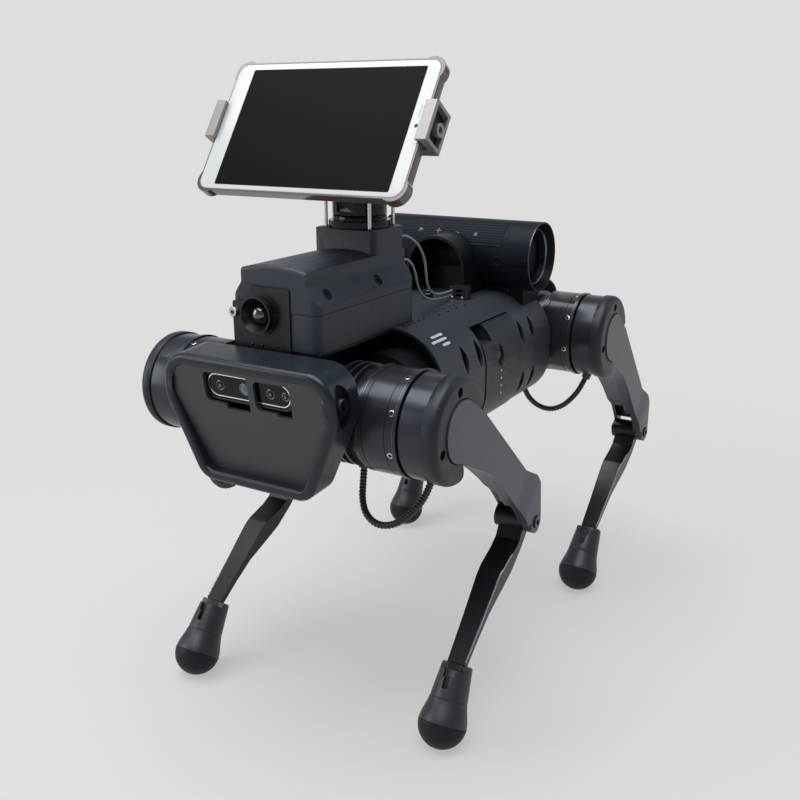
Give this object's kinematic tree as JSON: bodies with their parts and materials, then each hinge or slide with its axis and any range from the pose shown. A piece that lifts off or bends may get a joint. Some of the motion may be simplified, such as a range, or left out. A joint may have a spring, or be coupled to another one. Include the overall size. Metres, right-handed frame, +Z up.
{
  "type": "quadruped robot dog",
  "caption": "Walking robot with a boxy rounded trunk, jointed legs, a camera face, a sensor housing with a lidar, a cylindrical loudspeaker and a tablet in a tilting clamp.",
  "frame": {"origin": "on the floor under the middle of the bounding box, with the machine standing on its feet", "axes": "+X forward, +Y to the machine's left, +Z up"},
  "size_m": [0.6093, 0.31, 0.5737],
  "materials": {
    "shell_black": "fine-textured satin black plastic",
    "motor_black": "semi-gloss black coated aluminium",
    "cover_black": "matte black plastic",
    "limb_black": "bead-blasted black anodised aluminium",
    "calf_black": "black anodised aluminium",
    "boot_black": "matte black plastic",
    "foot_rubber": "dull black rubber",
    "cable_black": "corrugated black conduit",
    "bolt_steel": "black oxide socket screws",
    "frame_black": "black anodised aluminium",
    "battery_black": "satin black plastic",
    "button_black": "matte black plastic",
    "mask_black": "smooth matte black plastic",
    "plate_grey": "dull warm dark grey plastic",
    "camera_silver": "silver aluminium with a black glass face",
    "payload_black": "fine-textured matte black plastic",
    "eye_black": "black plastic with a glass eye",
    "lidar_black": "gloss black plastic",
    "stand_steel": "bright steel rods and bolt, black plate",
    "holder_dark": "dark anodised aluminium",
    "jaw_taupe": "taupe anodised aluminium",
    "tablet_white": "white glass front with a black screen",
    "case_bronze": "translucent bronze soft plastic",
    "speaker_black": "fine-textured matte black plastic",
    "saddle_black": "satin black plastic",
    "hub_black": "black plastic and a steel pillar",
    "wire_grey": "pale grey insulated wire"
  },
  "bodies": {
    "trunk": {"trunk_upper_shell": "shell_black", "trunk_lower_shell": "shell_black", "roll_motors": "motor_black", "chassis_frame": "frame_black", "mask_rim": "mask_black", "mask_plate": "plate_grey", "depth_camera": "camera_silver", "payload_base": "payload_black", "payload_cover": "payload_black", "front_camera": "eye_black", "lidar_base": "lidar_black", "holder_stand": "stand_steel", "speaker": "speaker_black", "speaker_saddle": "saddle_black", "port_hub": "hub_black", "payload_wires": "wire_grey"},
    "battery": {"battery_pack": "battery_black"},
    "button": {"power_button": "button_black"},
    "lidar_head": {"lidar_turret": "lidar_black"},
    "tablet_holder": {"holder_bar": "holder_dark", "tablet": "tablet_white", "tablet_case": "case_bronze"},
    "left_jaw": {"clamp_jaw_left": "jaw_taupe"},
    "right_jaw": {"clamp_jaw_right": "jaw_taupe"},
    "front_left_hip": {"front_left_hip_actuator": "motor_black", "front_left_leg_cable": "cable_black"},
    "front_left_thigh": {"front_left_knee_motor": "motor_black", "front_left_shoulder_cover": "cover_black", "front_left_thigh_link": "limb_black", "front_left_leg_bolts": "bolt_steel"},
    "front_left_calf": {"front_left_calf_link": "calf_black", "front_left_foot_boot": "boot_black", "front_left_foot_pad": "foot_rubber"},
    "front_right_hip": {"front_right_hip_actuator": "motor_black", "front_right_leg_cable": "cable_black"},
    "front_right_thigh": {"front_right_knee_motor": "motor_black", "front_right_shoulder_cover": "cover_black", "front_right_thigh_link": "limb_black", "front_right_leg_bolts": "bolt_steel"},
    "front_right_calf": {"front_right_calf_link": "calf_black", "front_right_foot_boot": "boot_black", "front_right_foot_pad": "foot_rubber"},
    "rear_left_hip": {"rear_left_hip_actuator": "motor_black", "rear_left_leg_cable": "cable_black"},
    "rear_left_thigh": {"rear_left_knee_motor": "motor_black", "rear_left_shoulder_cover": "cover_black", "rear_left_thigh_link": "limb_black", "rear_left_leg_bolts": "bolt_steel"},
    "rear_left_calf": {"rear_left_calf_link": "calf_black", "rear_left_foot_boot": "boot_black", "rear_left_foot_pad": "foot_rubber"},
    "rear_right_hip": {"rear_right_hip_actuator": "motor_black", "rear_right_leg_cable": "cable_black"},
    "rear_right_thigh": {"rear_right_knee_motor": "motor_black", "rear_right_shoulder_cover": "cover_black", "rear_right_thigh_link": "limb_black", "rear_right_leg_bolts": "bolt_steel"},
    "rear_right_calf": {"rear_right_calf_link": "calf_black", "rear_right_foot_boot": "boot_black", "rear_right_foot_pad": "foot_rubber"}
  },
  "joints": [
    {"name": "front_left_roll", "type": "hinge", "parent": "trunk", "child": "front_left_hip", "pos_m": [0.2243, 0.047, 0.2971], "axis": [-1, 0, 0], "range_deg": [-30, 30]},
    {"name": "front_left_pitch", "type": "hinge", "parent": "front_left_hip", "child": "front_left_thigh", "pos_m": [0.2243, 0.1313, 0.2971], "axis": [0, 1, 0], "range_deg": [-108, 102], "deforming": ["front_left_leg_cable"]},
    {"name": "front_left_knee", "type": "hinge", "parent": "front_left_thigh", "child": "front_left_calf", "pos_m": [0.07567, 0.1313, 0.16327], "axis": [0, 1, 0], "range_deg": [-61.6, 40.4]},
    {"name": "front_right_roll", "type": "hinge", "parent": "trunk", "child": "front_right_hip", "pos_m": [0.2243, -0.047, 0.2971], "axis": [1, 0, 0], "range_deg": [-30, 30]},
    {"name": "front_right_pitch", "type": "hinge", "parent": "front_right_hip", "child": "front_right_thigh", "pos_m": [0.2243, -0.1313, 0.2971], "axis": [0, 1, 0], "range_deg": [-103.1, 106.9], "deforming": ["front_right_leg_cable"]},
    {"name": "front_right_knee", "type": "hinge", "parent": "front_right_thigh", "child": "front_right_calf", "pos_m": [0.08765, -0.1313, 0.15107], "axis": [0, 1, 0], "range_deg": [-61.7, 40.3]},
    {"name": "rear_left_roll", "type": "hinge", "parent": "trunk", "child": "rear_left_hip", "pos_m": [-0.1327, 0.047, 0.2971], "axis": [-1, 0, 0], "range_deg": [-30, 30]},
    {"name": "rear_left_pitch", "type": "hinge", "parent": "rear_left_hip", "child": "rear_left_thigh", "pos_m": [-0.1327, 0.1313, 0.2971], "axis": [0, 1, 0], "range_deg": [-36.2, 107.8], "deforming": ["rear_left_leg_cable"]},
    {"name": "rear_left_knee", "type": "hinge", "parent": "rear_left_thigh", "child": "rear_left_calf", "pos_m": [-0.26704, 0.1313, 0.14894], "axis": [0, 1, 0], "range_deg": [-61.8, 40.2]},
    {"name": "rear_right_roll", "type": "hinge", "parent": "trunk", "child": "rear_right_hip", "pos_m": [-0.1327, -0.047, 0.2971], "axis": [1, 0, 0], "range_deg": [-30, 30]},
    {"name": "rear_right_pitch", "type": "hinge", "parent": "rear_right_hip", "child": "rear_right_thigh", "pos_m": [-0.1327, -0.1313, 0.2971], "axis": [0, 1, 0], "range_deg": [-47.2, 96.8], "deforming": ["rear_right_leg_cable"]},
    {"name": "rear_right_knee", "type": "hinge", "parent": "rear_right_thigh", "child": "rear_right_calf", "pos_m": [-0.29285, -0.1313, 0.1773], "axis": [0, 1, 0], "range_deg": [-62.4, 39.6]},
    {"name": "battery_slide", "type": "slide", "parent": "trunk", "child": "battery", "axis": [0, 1, 0], "range_m": [0, 0.075]},
    {"name": "button_press", "type": "slide", "parent": "battery", "child": "button", "axis": [0, -1, 0], "range_m": [0, 0.0012], "stiffness_N_per_m": 800},
    {"name": "lidar_spin", "type": "hinge", "parent": "trunk", "child": "lidar_head", "pos_m": [0.1356, 0, 0.45], "axis": [0, 0, 1], "continuous": true},
    {"name": "tablet_tilt", "type": "hinge", "parent": "trunk", "child": "tablet_holder", "pos_m": [0.1578, 0, 0.484], "axis": [0, 1, 0], "range_deg": [-45, 25]},
    {"name": "left_jaw_slide", "type": "slide", "parent": "tablet_holder", "child": "left_jaw", "axis": [0, 1, 0], "range_m": [0, 0.015]},
    {"name": "right_jaw_slide", "type": "slide", "parent": "tablet_holder", "child": "right_jaw", "axis": [0, -1, 0], "range_m": [0, 0.015]}
  ],
  "couplings": [
    {"joint": "right_jaw_slide", "follows": "left_jaw_slide", "ratio": 1}
  ]
}
